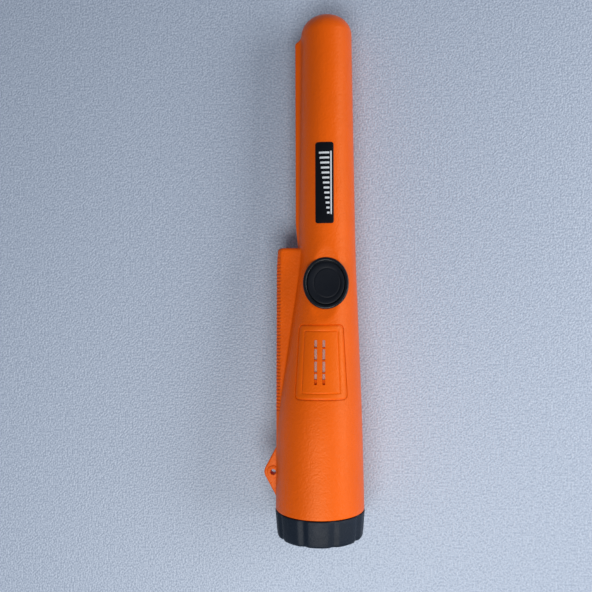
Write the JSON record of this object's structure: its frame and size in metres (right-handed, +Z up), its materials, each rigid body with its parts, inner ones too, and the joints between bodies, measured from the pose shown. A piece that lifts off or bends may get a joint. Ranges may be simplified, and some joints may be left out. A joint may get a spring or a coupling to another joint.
{
  "type": "handheld pinpointer metal detector probe",
  "caption": "Waterproof hand-held pinpointer probe: tapered round body with a scraping blade, push button, speaker panel, flashlight block and screw-on battery cap.",
  "frame": {"origin": "middle of the underside of the bounding box, on the surface that the probe lies on", "axes": "+Y along the probe towards its tip, +Z up out of the push button, +X to the side away from the flashlight block"},
  "size_m": [0.0446, 0.2334, 0.0395],
  "materials": {
    "orange_plastic": "fine moulded texture, satin",
    "black_plastic": "fine moulded texture",
    "black_rubber": "soft matt",
    "sticker": "printed film",
    "membrane_mesh": "fine waterproof mesh",
    "clear_lens": "clear",
    "foam": "closed-cell foam",
    "sounder_brass": "plain",
    "ferrite": "sintered",
    "natural_plastic": "plain moulded",
    "copper_wire": "enamelled copper",
    "circuit_board": "solder mask",
    "chip_plastic": "epoxy",
    "bright_steel": "plated",
    "tungsten_weight": "sintered",
    "battery_shell": "printed jacket",
    "red_insulation": "smooth",
    "black_insulation": "smooth"
  },
  "bodies": {
    "housing": {"housing": "orange_plastic", "speaker_panel": "orange_plastic", "button_bezel": "black_plastic", "led_collar": "black_rubber", "cap_seal_ring": "black_rubber", "label_plate": "sticker", "speaker_membrane": "membrane_mesh", "flashlight_lens": "clear_lens", "flashlight_led": "clear_lens", "speaker_gasket": "foam", "tip_cushion": "foam", "speaker": "sounder_brass", "ferrite_core": "ferrite", "coil_former": "natural_plastic", "board_frame": "natural_plastic", "motor_clip": "natural_plastic", "battery_bulkhead": "natural_plastic", "search_coil": "copper_wire", "coil_lead_start": "copper_wire", "coil_lead_end": "copper_wire", "main_board": "circuit_board", "tact_switch": "chip_plastic", "microcontroller": "chip_plastic", "amplifier_chip": "chip_plastic", "crystal": "bright_steel", "capacitor_1": "bright_steel", "capacitor_2": "bright_steel", "capacitor_3": "bright_steel", "board_screw_1": "bright_steel", "board_screw_2": "bright_steel", "board_screw_3": "bright_steel", "board_screw_4": "bright_steel", "motor_can": "bright_steel", "battery_stud": "bright_steel", "battery_socket": "bright_steel", "contact_socket": "bright_steel", "contact_stud": "bright_steel", "battery": "battery_shell", "battery_lead_red": "red_insulation", "battery_lead_black": "black_insulation"},
    "cap_carrier": {"battery_pad": "foam"},
    "battery_cap": {"battery_cap": "black_plastic"},
    "button": {"button_cap": "black_rubber"},
    "switch_plunger": {"switch_plunger": "chip_plastic"},
    "motor_rotor": {"motor_shaft": "bright_steel", "motor_weight": "tungsten_weight"}
  },
  "joints": [
    {"name": "cap_travel", "type": "slide", "parent": "housing", "child": "cap_carrier", "axis": [0, -1, 0], "range_m": [0, 0.00675]},
    {"name": "cap_turn", "type": "hinge", "parent": "cap_carrier", "child": "battery_cap", "pos_m": [0.00243, -0.1107, 0.01977], "axis": [0, -1, 0], "range_deg": [0, 810]},
    {"name": "button_press", "type": "slide", "parent": "housing", "child": "button", "axis": [0, -0.1652, -0.9863], "range_m": [0, 0.0004], "stiffness_N_per_m": 1200},
    {"name": "switch_press", "type": "slide", "parent": "housing", "child": "switch_plunger", "axis": [0, 0, -1], "range_m": [0, 0.0004]},
    {"name": "motor_spin", "type": "hinge", "parent": "housing", "child": "motor_rotor", "pos_m": [0.00492, -0.0147, 0.0086], "axis": [0, 1, 0], "continuous": true}
  ],
  "couplings": [
    {"joint": "cap_travel", "follows": "cap_turn", "m_per_rad": 0.00047746},
    {"joint": "switch_press", "follows": "button_press", "ratio": 1}
  ]
}
